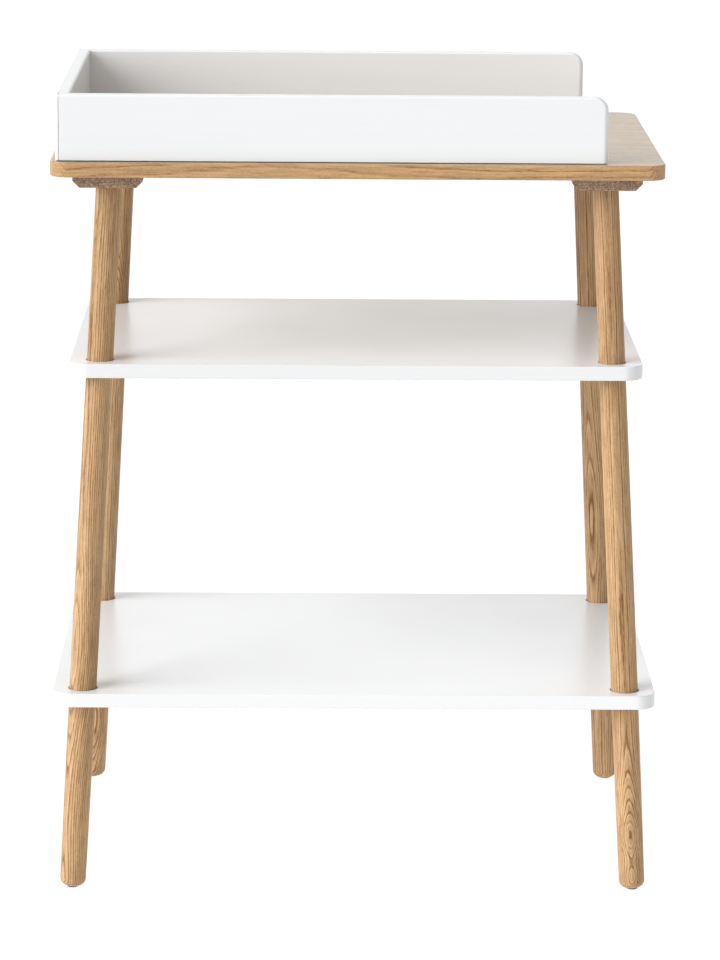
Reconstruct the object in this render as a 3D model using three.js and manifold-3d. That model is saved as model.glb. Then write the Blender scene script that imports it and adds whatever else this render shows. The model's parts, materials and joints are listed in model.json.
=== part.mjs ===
// Changing table: oak top on four splayed oak legs, two white shelves that the legs pass through,
// and a white three-sided changing rim that lifts off the top.
// Millimetres, +Z up. The origin is on the floor at the middle of the table; the front faces -Y.
import * as THREE from 'three';
import { mergeVertices } from 'three/addons/utils/BufferGeometryUtils.js';
import Module from 'manifold-3d';

const wasm = await Module();
wasm.setup();

// ---- driving dimensions ----------------------------------------------------------------------

// tabletop
const TOP_WIDTH = 800;
const TOP_DEPTH = 540;
const TOP_THICKNESS = 20;
const TOP_HEIGHT = 985; // floor to the top face
const TOP_CORNER_RADIUS = 24;
const TOP_EDGE_EASE = 2;

// leg rails, each a bar from front to back under the top
const RAIL_WIDTH = 92;
const RAIL_HEIGHT = 17;
const RAIL_CHAMFER = 9;
const RAIL_SETBACK = 26; // from the front and back edge of the top

// legs
const LEG_INSET_X = 74.5; // leg centre under the rail, from the side edge of the top
const LEG_INSET_Y = 66; // leg centre under the rail, from the front edge of the top
const LEG_SPLAY_X = 3.15; // degrees, sideways
const LEG_SPLAY_Y = 3.2; // degrees, front to back
const LEG_RADIUS_TOP = 17.3;
const LEG_RADIUS_MIDDLE = 18; // the swell, nearer the floor than the top
const LEG_RADIUS_FOOT = 17.2;
const LEG_SWELL_HEIGHT = 270; // along the leg, from the foot
const FOOT_ROUNDING = 10.5;
const FOOT_DIP = 0.6; // how far the turned end goes below the level cut for the glide

// foot glides, a nylon disc with its nail
const GLIDE_RADIUS = 7.5;
const GLIDE_THICKNESS = 2;
const GLIDE_EDGE = 1;
const GLIDE_NAIL_RADIUS = 1.3;
const GLIDE_NAIL_LENGTH = 13;

// shelves
const SHELF_THICKNESS = 19;
const UPPER_SHELF_HEIGHT = 716; // floor to the top face
const LOWER_SHELF_HEIGHT = 274;
const SHELF_OVERHANG_X = 39.5; // past the leg centres, at half the shelf's thickness
const SHELF_OVERHANG_Y = 33;
const SHELF_CORNER_RADIUS = 26;
const SHELF_EDGE_EASE = 2;

// changing rim
const RIM_INSET = 8; // from the front, back and left edge of the top
const RIM_OPEN_MARGIN = 76; // bare top past the rim's open end
const RIM_HEIGHT = 86.5;
const RIM_THICKNESS = 18;
const RIM_EDGE_RADIUS = 6.5;
const RIM_END_RADIUS = 18; // the upper corner of the front and back panel at the open end
const RIM_LIP = 4.3; // what the end panel's rebate leaves outside the front and back panel

// hanger bolts and threaded inserts
const BOLT_RADIUS = 4;
const BOLT_IN_LEG = 42;
const BOLT_IN_RAIL = 13;
const BOLT_CHAMFER = 0.8;
const INSERT_RADIUS = 6.5;
const INSERT_LENGTH = 12;
const INSERT_RECESS = 1; // below the rail's underside

// rail screws
const SCREW_RADIUS = 2.2;
const SCREW_HEAD_RADIUS = 4.6;
const SCREW_HEAD_HEIGHT = 3;
const SCREW_HEAD_RIM = 0.4;
const SCREW_IN_TOP = 12;
const SCREW_SPACING = 144;
const SCREWS_PER_RAIL = 3;

// shelf pins
const PIN_RADIUS = 2.5;
const PIN_LENGTH = 22;
const PIN_IN_LEG = 13;
const PIN_CHAMFER = 0.5;

// dowels of the rim
const CORNER_DOWEL_RADIUS = 3;
const CORNER_DOWEL_LENGTH = 28;
const CORNER_DOWEL_IN_PANEL = 10; // depth in the front or back panel
const CORNER_DOWEL_HEIGHTS = [24, 58]; // above the rim's lower edge
const LOCATOR_RADIUS = 4;
const LOCATOR_IN_RIM = 20;
const LOCATOR_IN_TOP = 9;
const LOCATOR_END_DISTANCE = 92; // from each end of the front and back panel
const DOWEL_CHAMFER = 0.8;

// clearances
const SEAT_GAP = 0.3; // between faces that rest on each other
const BORE_GAP = 0.35; // around a fixed dowel, bolt, pin or screw
const LOCATOR_GAP = 0.5; // around a locating dowel, which slides out of its hole
const LEG_HOLE_GAP = 1.2; // around a leg where it passes through a shelf
const RIM_SEAT_GAP = 0.6; // under the rim
const DRILL_ALLOWANCE = 1; // depth of a blind hole past what sits in it

// roundness of the facets
const LEG_SIDES = 24;
const LEG_STEPS = 8;
const BORE_SIDES = 12;
const CORNER_STEPS = 6;
const EDGE_STEPS = 3;

// ---- places worked out from the driving dimensions -------------------------------------------

const TOP_UNDERSIDE = TOP_HEIGHT - TOP_THICKNESS;
const RAIL_TOP = TOP_UNDERSIDE - SEAT_GAP;
const RAIL_UNDERSIDE = TOP_UNDERSIDE - RAIL_HEIGHT;
const LEG_TOP = RAIL_UNDERSIDE - SEAT_GAP;
const LEG_BOTTOM = GLIDE_THICKNESS + SEAT_GAP;
const FOOT_START = LEG_BOTTOM - FOOT_DIP;
const LEG_X = TOP_WIDTH / 2 - LEG_INSET_X;
const LEG_Y = TOP_DEPTH / 2 - LEG_INSET_Y;
const SLOPE_X = Math.tan(THREE.MathUtils.degToRad(LEG_SPLAY_X));
const SLOPE_Y = Math.tan(THREE.MathUtils.degToRad(LEG_SPLAY_Y));
const RIM_BOTTOM = TOP_HEIGHT + RIM_SEAT_GAP;
const RIM_LEFT = -TOP_WIDTH / 2 + RIM_INSET;
const RIM_RIGHT = TOP_WIDTH / 2 - RIM_OPEN_MARGIN;
const RIM_FRONT = -TOP_DEPTH / 2 + RIM_INSET;
const RIM_PANEL_MIDDLE = RIM_FRONT + RIM_THICKNESS / 2;
const RIM_INNER_Y = -RIM_FRONT - RIM_THICKNESS;
const SCREW_SEAT = RAIL_UNDERSIDE + BORE_GAP;

const CORNERS = [
  { name: 'front_left', x: -1, y: -1 },
  { name: 'front_right', x: 1, y: -1 },
  { name: 'rear_left', x: -1, y: 1 },
  { name: 'rear_right', x: 1, y: 1 },
];
const SIDES = [{ name: 'left', x: -1 }, { name: 'right', x: 1 }];

/** The centre of a corner's leg at a height above the floor. */
function legCentre(corner, height) {
  const drop = RAIL_UNDERSIDE - height;
  return new THREE.Vector3(
    corner.x * (LEG_X + SLOPE_X * drop), corner.y * (LEG_Y + SLOPE_Y * drop), height);
}

/** The direction up along a corner's leg. */
function legDirection(corner) {
  return new THREE.Vector3(-corner.x * SLOPE_X, -corner.y * SLOPE_Y, 1).normalize();
}

// ---- solids ----------------------------------------------------------------------------------

function toSolid(geometry) {
  const bare = geometry.clone();
  bare.deleteAttribute('normal');
  bare.deleteAttribute('uv');
  const merged = mergeVertices(bare, 1e-4);
  const corners = [];
  for (let i = 0; i < merged.index.count; i += 3) {
    const [a, b, c] = merged.index.array.slice(i, i + 3);
    if (a !== b && b !== c && c !== a) corners.push(a, b, c);
  }
  return new wasm.Manifold(new wasm.Mesh({
    numProp: 3,
    vertProperties: Float32Array.from(merged.attributes.position.array),
    triVerts: Uint32Array.from(corners),
  }));
}

function toGeometry(solid) {
  const mesh = solid.getMesh();
  const geometry = new THREE.BufferGeometry();
  geometry.setAttribute('position', new THREE.BufferAttribute(mesh.vertProperties, 3));
  geometry.setIndex(new THREE.BufferAttribute(mesh.triVerts, 1));
  geometry.computeVertexNormals();
  return geometry;
}

/** The geometry with every cutter taken away, all in one frame. */
function cut(geometry, cutters) {
  return toGeometry(cutters.reduce((solid, cutter) => solid.subtract(toSolid(cutter)), toSolid(geometry)));
}

/** A box given by its lowest and highest corner. */
function boxBetween(low, high) {
  const size = high.map((value, axis) => value - low[axis]);
  const middle = high.map((value, axis) => (value + low[axis]) / 2);
  return new THREE.BoxGeometry(...size).translate(...middle);
}

/** A turned form. The profile is [radius, height] pairs from one end of the axis to the other. */
function turned(profile, from, to, sides = BORE_SIDES) {
  const points = profile.map(([radius, height]) => new THREE.Vector2(radius, height));
  const turn = new THREE.Quaternion().setFromUnitVectors(
    new THREE.Vector3(0, 1, 0), to.clone().sub(from).normalize());
  return new THREE.LatheGeometry(points, sides).applyQuaternion(turn).translate(from.x, from.y, from.z);
}

/** A round rod from one point to another, with both ends chamfered if ease is given. */
function rod(from, to, radius, ease = 0, sides = BORE_SIDES) {
  const length = from.distanceTo(to);
  const side = ease
    ? [[radius - ease, 0], [radius, ease], [radius, length - ease], [radius - ease, length]]
    : [[radius, 0], [radius, length]];
  return turned([[0, 0], ...side, [0, length]], from, to, sides);
}

/** A rectangle around the origin with rounded corners. */
function roundedRectangle(width, depth, radius) {
  const x = width / 2 - radius;
  const y = depth / 2 - radius;
  const shape = new THREE.Shape();
  shape.absarc(x, -y, radius, -Math.PI / 2, 0);
  shape.absarc(x, y, radius, 0, Math.PI / 2);
  shape.absarc(-x, y, radius, Math.PI / 2, Math.PI);
  shape.absarc(-x, -y, radius, Math.PI, Math.PI * 1.5);
  shape.closePath();
  return shape;
}

/** A board lying on z = 0 with rounded corners and eased edges. */
function board(width, depth, thickness, cornerRadius, ease) {
  return new THREE.ExtrudeGeometry(roundedRectangle(width, depth, cornerRadius), {
    depth: thickness - 2 * ease,
    bevelSize: ease,
    bevelOffset: -ease,
    bevelThickness: ease,
    bevelSegments: EDGE_STEPS - 1,
    curveSegments: CORNER_STEPS,
  }).translate(0, 0, ease);
}

// ---- materials -------------------------------------------------------------------------------

const oak = new THREE.MeshStandardMaterial({ color: 0xc8a06e, roughness: 0.55, metalness: 0 });
const oakVeneer = new THREE.MeshStandardMaterial({ color: 0xcfa873, roughness: 0.5, metalness: 0 });
const darkOak = new THREE.MeshStandardMaterial({ color: 0x8c7364, roughness: 0.7, metalness: 0 });
const whiteLacquer = new THREE.MeshStandardMaterial({ color: 0xf1f1ef, roughness: 0.35, metalness: 0 });
const whitePaint = new THREE.MeshStandardMaterial({ color: 0xf2f2f0, roughness: 0.45, metalness: 0 });
const beech = new THREE.MeshStandardMaterial({ color: 0xd8b98c, roughness: 0.7, metalness: 0 });
const zincSteel = new THREE.MeshStandardMaterial({ color: 0xb9bcc0, roughness: 0.35, metalness: 1 });
const nylon = new THREE.MeshStandardMaterial({ color: 0xe6e4dd, roughness: 0.5, metalness: 0 });

const table = new THREE.Group();
const frame = new THREE.Group();
const rim = new THREE.Group();
rim.position.z = RIM_BOTTOM;
table.add(frame, rim);

function addPiece(group, name, geometry, material, place = new THREE.Vector3()) {
  const mesh = new THREE.Mesh(cut(geometry, []), material);
  mesh.name = name;
  mesh.position.copy(place);
  group.add(mesh);
}

// ---- hardware: each function gives a geometry in the table's frame ---------------------------

/** Where a corner's leg meets the underside of its rail, and points above and below it on the leg's axis. */
function onLegAxis(corner, distance) {
  return legCentre(corner, RAIL_UNDERSIDE).addScaledVector(legDirection(corner), distance);
}

/** The hanger bolt in a corner's leg. With a gap it is the hole for it. */
function hangerBolt(corner, gap) {
  return rod(onLegAxis(corner, -BOLT_IN_LEG - gap), onLegAxis(corner, BOLT_IN_RAIL + gap),
    BOLT_RADIUS + gap, gap ? 0 : BOLT_CHAMFER);
}

/** The threaded insert's outer form. With a gap it is the hole for it in the rail. */
function insertBody(corner, gap) {
  const start = gap ? -RAIL_HEIGHT / 2 : INSERT_RECESS;
  return rod(onLegAxis(corner, start), onLegAxis(corner, INSERT_RECESS + INSERT_LENGTH + gap),
    INSERT_RADIUS + gap);
}

/** A countersunk wood screw, head down. With a gap it is the hole for it in rail and top. */
function railScrew(x, y, gap) {
  const start = gap ? -RAIL_HEIGHT / 2 : 0;
  const tip = TOP_UNDERSIDE + SCREW_IN_TOP - SCREW_SEAT + gap;
  const profile = [
    [0, start],
    [SCREW_HEAD_RADIUS + gap, start],
    [SCREW_HEAD_RADIUS + gap, SCREW_HEAD_RIM],
    [SCREW_RADIUS + gap, SCREW_HEAD_HEIGHT + gap],
    [SCREW_RADIUS + gap, tip - SCREW_RADIUS],
    [0, gap ? tip + DRILL_ALLOWANCE : tip],
  ];
  return turned(profile, new THREE.Vector3(x, y, SCREW_SEAT), new THREE.Vector3(x, y, TOP_HEIGHT));
}

/** The screws' places along a rail, spread about its middle. */
function screwPlaces() {
  return Array.from({ length: SCREWS_PER_RAIL }, (_, i) => (i - (SCREWS_PER_RAIL - 1) / 2) * SCREW_SPACING);
}

/** A pin across the inner side of a leg, just under a shelf. */
function shelfPin(corner, shelfHeight, gap) {
  const height = shelfHeight - SHELF_THICKNESS - SEAT_GAP - PIN_RADIUS;
  const surface = legCentre(corner, height);
  surface.x -= corner.x * legRadiusAt(height);
  const inward = new THREE.Vector3(-corner.x, 0, 0);
  const inner = surface.clone().addScaledVector(inward, -PIN_IN_LEG - gap);
  const outer = surface.clone().addScaledVector(inward, PIN_LENGTH - PIN_IN_LEG);
  return rod(inner, outer, PIN_RADIUS + gap, gap ? 0 : PIN_CHAMFER);
}

/** A foot glide standing on the floor under a leg, or the hole for its nail. */
function footGlide(corner, nailHoleOnly) {
  const gap = nailHoleOnly ? BORE_GAP : 0;
  const nail = GLIDE_NAIL_RADIUS + gap;
  const nailTop = GLIDE_THICKNESS + GLIDE_NAIL_LENGTH + gap;
  const disc = nailHoleOnly
    ? [[0, 0], [nail, 0]]
    : [[0, 0], [GLIDE_RADIUS - GLIDE_EDGE, 0], [GLIDE_RADIUS, GLIDE_EDGE], [GLIDE_RADIUS, GLIDE_THICKNESS],
      [nail, GLIDE_THICKNESS]];
  const floor = legCentre(corner, 0);
  return turned([...disc, [nail, nailTop - nail], [0, nailTop]], floor, floor.clone().setZ(1));
}

// ---- legs ------------------------------------------------------------------------------------

const UPRIGHTNESS = legDirection(CORNERS[0]).z; // height gained per millimetre of leg
const LEG_LENGTH = RAIL_UNDERSIDE / UPRIGHTNESS;

/** The leg's radius (x) at a distance along it from the floor (y): a slight swell, like a long barrel. */
const legOutline = new THREE.SplineCurve([
  new THREE.Vector2(LEG_RADIUS_FOOT, FOOT_START + FOOT_ROUNDING),
  new THREE.Vector2(LEG_RADIUS_MIDDLE, LEG_SWELL_HEIGHT),
  new THREE.Vector2(LEG_RADIUS_TOP, LEG_LENGTH + LEG_RADIUS_TOP),
]).getPoints(LEG_STEPS);

function legRadiusAt(height) {
  const along = height / UPRIGHTNESS;
  const above = Math.max(1, legOutline.findIndex((point) => point.y >= along));
  const [low, high] = [legOutline[above - 1], legOutline[above]];
  return THREE.MathUtils.mapLinear(along, low.y, high.y, low.x, high.x);
}

/** A turned leg, longer than needed at the top and dipping a little below its level cut at the foot. */
function legBlank(corner) {
  const arc = new THREE.EllipseCurve(LEG_RADIUS_FOOT - FOOT_ROUNDING, FOOT_START + FOOT_ROUNDING,
    FOOT_ROUNDING, FOOT_ROUNDING, -Math.PI / 2, 0).getPoints(CORNER_STEPS);
  const profile = [...arc, ...legOutline.slice(1)].map((point) => [point.x, point.y]);
  return turned([[0, FOOT_START], ...profile, [0, legOutline.at(-1).y]],
    legCentre(corner, 0), legCentre(corner, LEG_TOP), LEG_SIDES);
}

function leg(corner) {
  const reach = TOP_WIDTH;
  const aboveTop = boxBetween([-reach, -reach, LEG_TOP], [reach, reach, TOP_HEIGHT + RAIL_HEIGHT]);
  const belowFoot = boxBetween([-reach, -reach, -RAIL_HEIGHT], [reach, reach, LEG_BOTTOM]);
  return cut(legBlank(corner), [
    aboveTop,
    belowFoot,
    hangerBolt(corner, BORE_GAP),
    shelfPin(corner, UPPER_SHELF_HEIGHT, BORE_GAP),
    shelfPin(corner, LOWER_SHELF_HEIGHT, BORE_GAP),
    footGlide(corner, true),
  ]);
}

for (const corner of CORNERS) {
  addPiece(frame, `${corner.name}_leg`, leg(corner), oak);
  addPiece(frame, `${corner.name}_hanger_bolt`, hangerBolt(corner, 0), zincSteel);
  addPiece(frame, `${corner.name}_threaded_insert`,
    cut(insertBody(corner, 0), [hangerBolt(corner, BORE_GAP)]), zincSteel);
  addPiece(frame, `${corner.name}_foot_glide`, footGlide(corner, false), nylon);
}

// ---- leg rails and their screws --------------------------------------------------------------

function legRail(side) {
  const half = RAIL_WIDTH / 2;
  const section = new THREE.Shape([
    new THREE.Vector2(-half, RAIL_TOP),
    new THREE.Vector2(-half, RAIL_UNDERSIDE + RAIL_CHAMFER),
    new THREE.Vector2(-half + RAIL_CHAMFER, RAIL_UNDERSIDE),
    new THREE.Vector2(half - RAIL_CHAMFER, RAIL_UNDERSIDE),
    new THREE.Vector2(half, RAIL_UNDERSIDE + RAIL_CHAMFER),
    new THREE.Vector2(half, RAIL_TOP),
  ]);
  const length = TOP_DEPTH - 2 * RAIL_SETBACK;
  const bar = new THREE.ExtrudeGeometry(section, { depth: length, bevelEnabled: false })
    .rotateX(Math.PI / 2)
    .translate(side.x * LEG_X, length / 2, 0);
  const corners = CORNERS.filter((corner) => corner.x === side.x);
  return cut(bar, [
    ...corners.map((corner) => insertBody(corner, BORE_GAP)),
    ...corners.map((corner) => hangerBolt(corner, BORE_GAP)),
    ...screwPlaces().map((y) => railScrew(side.x * LEG_X, y, BORE_GAP)),
  ]);
}

for (const side of SIDES) {
  addPiece(frame, `${side.name}_leg_rail`, legRail(side), darkOak);
  screwPlaces().forEach((y, i) => {
    addPiece(frame, `${side.name}_rail_screw_${i + 1}`, railScrew(side.x * LEG_X, y, 0), zincSteel);
  });
}

// ---- shelves ---------------------------------------------------------------------------------

function shelf(height) {
  const middle = height - SHELF_THICKNESS / 2;
  const centre = legCentre({ x: 1, y: 1 }, middle);
  const slab = board(2 * (centre.x + SHELF_OVERHANG_X), 2 * (centre.y + SHELF_OVERHANG_Y),
    SHELF_THICKNESS, SHELF_CORNER_RADIUS, SHELF_EDGE_EASE);
  const holes = CORNERS.map((corner) => {
    const radius = legRadiusAt(middle) + LEG_HOLE_GAP;
    const from = legCentre(corner, height - SHELF_THICKNESS - radius);
    return rod(from, legCentre(corner, height + radius), radius, 0, LEG_SIDES)
      .translate(0, 0, SHELF_THICKNESS - height);
  });
  return cut(slab, holes);
}

const SHELVES = [{ name: 'upper', height: UPPER_SHELF_HEIGHT }, { name: 'lower', height: LOWER_SHELF_HEIGHT }];
for (const { name, height } of SHELVES) {
  addPiece(frame, `${name}_shelf`, shelf(height), whiteLacquer, new THREE.Vector3(0, 0, height - SHELF_THICKNESS));
  for (const corner of CORNERS) {
    addPiece(frame, `${corner.name}_${name}_shelf_pin`, shelfPin(corner, height, 0), zincSteel);
  }
}

// ---- tabletop --------------------------------------------------------------------------------

/** Where the changing rim's locating dowels stand. */
const LOCATORS = [
  { name: 'front_left', x: RIM_LEFT + LOCATOR_END_DISTANCE, y: RIM_PANEL_MIDDLE },
  { name: 'front_right', x: RIM_RIGHT - LOCATOR_END_DISTANCE, y: RIM_PANEL_MIDDLE },
  { name: 'rear_left', x: RIM_LEFT + LOCATOR_END_DISTANCE, y: -RIM_PANEL_MIDDLE },
  { name: 'rear_right', x: RIM_RIGHT - LOCATOR_END_DISTANCE, y: -RIM_PANEL_MIDDLE },
  { name: 'end', x: RIM_LEFT + RIM_THICKNESS / 2, y: 0 },
];

function tabletop() {
  const slab = board(TOP_WIDTH, TOP_DEPTH, TOP_THICKNESS, TOP_CORNER_RADIUS, TOP_EDGE_EASE);
  const locatorHoles = LOCATORS.map(({ x, y }) => rod(
    new THREE.Vector3(x, y, TOP_THICKNESS - LOCATOR_IN_TOP - DRILL_ALLOWANCE),
    new THREE.Vector3(x, y, TOP_THICKNESS + RIM_SEAT_GAP), LOCATOR_RADIUS + LOCATOR_GAP));
  const screwHoles = SIDES.flatMap((side) => screwPlaces().map(
    (y) => railScrew(side.x * LEG_X, y, BORE_GAP).translate(0, 0, -TOP_UNDERSIDE)));
  return cut(slab, [...locatorHoles, ...screwHoles]);
}

addPiece(frame, 'tabletop', tabletop(), oakVeneer, new THREE.Vector3(0, 0, TOP_UNDERSIDE));

// ---- changing rim, in its own frame with z = 0 at its lower edge -----------------------------

/** A locating dowel. With a gap it is the hole for it in a panel. */
function locator({ x, y }, gap) {
  return rod(new THREE.Vector3(x, y, -RIM_SEAT_GAP - LOCATOR_IN_TOP),
    new THREE.Vector3(x, y, LOCATOR_IN_RIM + gap), LOCATOR_RADIUS + gap, gap ? 0 : DOWEL_CHAMFER);
}

/** A dowel across the corner joint at the front (y -1) or back (y 1). With a gap it is its hole. */
function cornerDowel(y, height, gap) {
  const x = RIM_LEFT + (RIM_LIP + RIM_THICKNESS) / 2;
  const outer = RIM_INNER_Y + CORNER_DOWEL_IN_PANEL;
  return rod(new THREE.Vector3(x, y * (outer + gap), height),
    new THREE.Vector3(x, y * (outer - CORNER_DOWEL_LENGTH - gap), height),
    CORNER_DOWEL_RADIUS + gap, gap ? 0 : DOWEL_CHAMFER);
}

/** A panel with rounded edges, standing over the X axis from x = 0, and reaching below z = 0 for the cut there. */
function panelBlank(length, startRadius, endRadius) {
  const outline = new THREE.Shape();
  outline.moveTo(0, -2 * RIM_EDGE_RADIUS);
  outline.lineTo(length, -2 * RIM_EDGE_RADIUS);
  outline.absarc(length - endRadius, RIM_HEIGHT - endRadius, endRadius, 0, Math.PI / 2);
  outline.absarc(startRadius, RIM_HEIGHT - startRadius, startRadius, Math.PI / 2, Math.PI);
  outline.closePath();
  return new THREE.ExtrudeGeometry(outline, {
    depth: RIM_THICKNESS - 2 * RIM_EDGE_RADIUS,
    bevelSize: RIM_EDGE_RADIUS,
    bevelOffset: -RIM_EDGE_RADIUS,
    bevelThickness: RIM_EDGE_RADIUS,
    bevelSegments: EDGE_STEPS,
    curveSegments: CORNER_STEPS,
  }).rotateX(Math.PI / 2).translate(0, RIM_THICKNESS / 2 - RIM_EDGE_RADIUS, 0);
}

const RIM_REACH = TOP_WIDTH + TOP_DEPTH; // longer than any panel, for the boxes that cut them
const belowRim = boxBetween([-RIM_REACH, -RIM_REACH, -RIM_HEIGHT], [RIM_REACH, RIM_REACH, 0]);

/** The front (y -1) or back (y 1) panel, whose left end sits in the end panel's rebate. */
function longPanel(y) {
  const pastTheLip = boxBetween([-RIM_REACH, -RIM_REACH, -RIM_HEIGHT],
    [RIM_LEFT + RIM_LIP + SEAT_GAP, RIM_REACH, 2 * RIM_HEIGHT]);
  const blank = panelBlank(RIM_RIGHT - RIM_LEFT + RIM_END_RADIUS, RIM_END_RADIUS, RIM_END_RADIUS)
    .translate(RIM_LEFT - RIM_END_RADIUS, -y * RIM_PANEL_MIDDLE, 0);
  return cut(blank, [
    belowRim,
    pastTheLip,
    ...CORNER_DOWEL_HEIGHTS.map((height) => cornerDowel(y, height, BORE_GAP)),
    ...LOCATORS.filter((place) => place.y * y > 0).map((place) => locator(place, BORE_GAP)),
  ]);
}

/** The left end panel, with a rebate at each end that leaves a thin lip outside. */
function endPanel() {
  const blank = panelBlank(-2 * RIM_FRONT, RIM_EDGE_RADIUS + SEAT_GAP, RIM_EDGE_RADIUS + SEAT_GAP)
    .translate(RIM_FRONT, 0, 0)
    .rotateZ(Math.PI / 2)
    .translate(RIM_LEFT + RIM_THICKNESS / 2, 0, 0);
  const shoulder = RIM_INNER_Y - SEAT_GAP;
  const rebates = [[-RIM_REACH, -shoulder], [shoulder, RIM_REACH]].map(([low, high]) => boxBetween(
    [RIM_LEFT + RIM_LIP, low, -RIM_HEIGHT], [RIM_REACH, high, 2 * RIM_HEIGHT]));
  const dowelHoles = [-1, 1].flatMap(
    (y) => CORNER_DOWEL_HEIGHTS.map((height) => cornerDowel(y, height, BORE_GAP)));
  return cut(blank, [belowRim, ...rebates, ...dowelHoles, locator(LOCATORS.at(-1), BORE_GAP)]);
}

addPiece(rim, 'rim_front_panel', longPanel(-1), whitePaint);
addPiece(rim, 'rim_back_panel', longPanel(1), whitePaint);
addPiece(rim, 'rim_end_panel', endPanel(), whitePaint);
for (const [y, side] of [[-1, 'front'], [1, 'back']]) {
  CORNER_DOWEL_HEIGHTS.forEach((height, i) => {
    addPiece(rim, `rim_${side}_corner_dowel_${i + 1}`, cornerDowel(y, height, 0), beech);
  });
}
for (const place of LOCATORS) {
  addPiece(rim, `rim_locating_dowel_${place.name}`, locator(place, 0), beech);
}

export default table;
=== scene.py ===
"""Changing table: the fine meshes, materials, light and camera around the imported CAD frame."""

import json
import math

import bmesh
import bpy
from mathutils import Matrix, Vector


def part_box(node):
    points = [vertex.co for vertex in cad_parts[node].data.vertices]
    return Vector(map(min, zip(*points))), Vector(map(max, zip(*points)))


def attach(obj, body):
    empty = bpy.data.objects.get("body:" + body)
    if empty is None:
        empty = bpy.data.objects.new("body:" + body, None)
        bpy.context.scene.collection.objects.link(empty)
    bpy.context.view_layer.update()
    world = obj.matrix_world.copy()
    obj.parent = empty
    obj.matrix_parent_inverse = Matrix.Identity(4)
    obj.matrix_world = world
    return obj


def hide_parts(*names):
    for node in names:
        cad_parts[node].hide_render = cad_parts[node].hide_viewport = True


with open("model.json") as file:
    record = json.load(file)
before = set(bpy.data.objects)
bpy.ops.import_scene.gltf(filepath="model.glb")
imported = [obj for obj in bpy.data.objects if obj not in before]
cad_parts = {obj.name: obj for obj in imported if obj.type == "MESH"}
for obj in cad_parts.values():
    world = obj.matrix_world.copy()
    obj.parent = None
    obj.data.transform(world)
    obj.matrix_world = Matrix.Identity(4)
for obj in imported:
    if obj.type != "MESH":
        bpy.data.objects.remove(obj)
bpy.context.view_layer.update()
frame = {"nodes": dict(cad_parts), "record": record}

MM = 0.001
CORNERS = ("front_left", "front_right", "rear_left", "rear_right")

# ---- sizes that the CAD boxes don't give, in metres ------------------------------------------
TOP_CORNER_RADIUS = 24 * MM
TOP_EDGE_EASE = 2 * MM
SHELF_CORNER_RADIUS = 26 * MM
SHELF_EDGE_EASE = 1.3 * MM
LEG_HOLE_GAP = 1.2 * MM
LEG_RADIUS_TOP = 17.3 * MM
LEG_RADIUS_MIDDLE = 18 * MM
LEG_RADIUS_FOOT = 17.2 * MM
LEG_SWELL_HEIGHT = 270 * MM
FOOT_ROUNDING = 10.5 * MM
FOOT_DIP = 0.6 * MM
RAIL_CHAMFER = 9 * MM
RIM_EDGE_RADIUS = 6.5 * MM
RIM_OUTER_RADIUS = 2.6 * MM
RIM_TOP_RADIUS = 3 * MM
RIM_END_RADIUS = 18 * MM
RIM_LIP = 4.3 * MM
SEAT_GAP = 0.3 * MM
BORE_GAP = 0.35 * MM
LOCATOR_GAP = 0.5 * MM
SCREW_HEAD_HEIGHT = 3 * MM
SCREW_HEAD_EDGE = 0.7 * MM
SCREW_RADIUS = 2.2 * MM
THREAD_PITCH = 1.2 * MM
THREAD_DEPTH = 0.45 * MM
RIM_SHADOW_GAP = 0.9 * MM
GLIDE_THICKNESS = 2 * MM
GLIDE_EDGE_RADIUS = 1 * MM
GLIDE_NAIL_RADIUS = 1.3 * MM
BOARD_EDGE = 0.9 * MM
RIM_SMALL_EDGE = 0.6 * MM
TINY = 0.1 * MM

# ---- how finely round forms are divided ------------------------------------------------------
ROUND_SIDES = 96
SMALL_SIDES = 48
LEG_STEPS = 150
FOOT_STEPS = 12
BOARD_CORNER_STEPS = 16
RIM_CORNER_STEPS = 14
RIM_EDGE_STEPS = 8
SMALL_EDGE_STEPS = 5
SHARP_ANGLE = 35


def centre_and_size(node):
    low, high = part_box(node)
    return (Vector(low) + Vector(high)) / 2, Vector(high) - Vector(low)


# ---- mesh tools ------------------------------------------------------------------------------
def new_object(name, bm):
    mesh = bpy.data.meshes.new(name)
    bmesh.ops.recalc_face_normals(bm, faces=bm.faces)
    bm.to_mesh(mesh)
    bm.free()
    for polygon in mesh.polygons:
        polygon.use_smooth = True
    obj = bpy.data.objects.new(name, mesh)
    bpy.context.scene.collection.objects.link(obj)
    return obj


def skin(rings):
    """A closed bmesh through rings of equally many points, with a flat face on the first and last."""
    bm = bmesh.new()
    loops = [[bm.verts.new(point) for point in ring] for ring in rings]
    for lower, upper in zip(loops, loops[1:]):
        for i in range(len(lower)):
            j = (i + 1) % len(lower)
            bm.faces.new((lower[i], lower[j], upper[j], upper[i]))
    bm.faces.new(list(reversed(loops[0])))
    bm.faces.new(loops[-1])
    return bm


def rounded_outline(low, high, radii, inset, steps):
    """An inset rectangle with a radius of its own at each corner, from lower left anticlockwise."""
    corners = ((low[0], low[1], 1, 1), (high[0], low[1], -1, 1),
               (high[0], high[1], -1, -1), (low[0], high[1], 1, -1))
    points = []
    for number, ((x, y, to_x, to_y), radius) in enumerate(zip(corners, radii)):
        left = max(radius - inset, TINY / 5)
        cx, cy = x + to_x * (inset + left), y + to_y * (inset + left)
        for step in range(steps + 1):
            angle = math.pi * (1 + number / 2) + math.pi / 2 * step / steps
            points.append((cx + left * math.cos(angle), cy + left * math.sin(angle)))
    return points


def quarter_round(radius, steps):
    """(inset, depth) pairs of a rounded edge, from the face to the side."""
    return [(radius * (1 - math.sin(a)), radius * (1 - math.cos(a)))
            for a in (math.pi / 2 * i / steps for i in range(steps + 1))]


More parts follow.
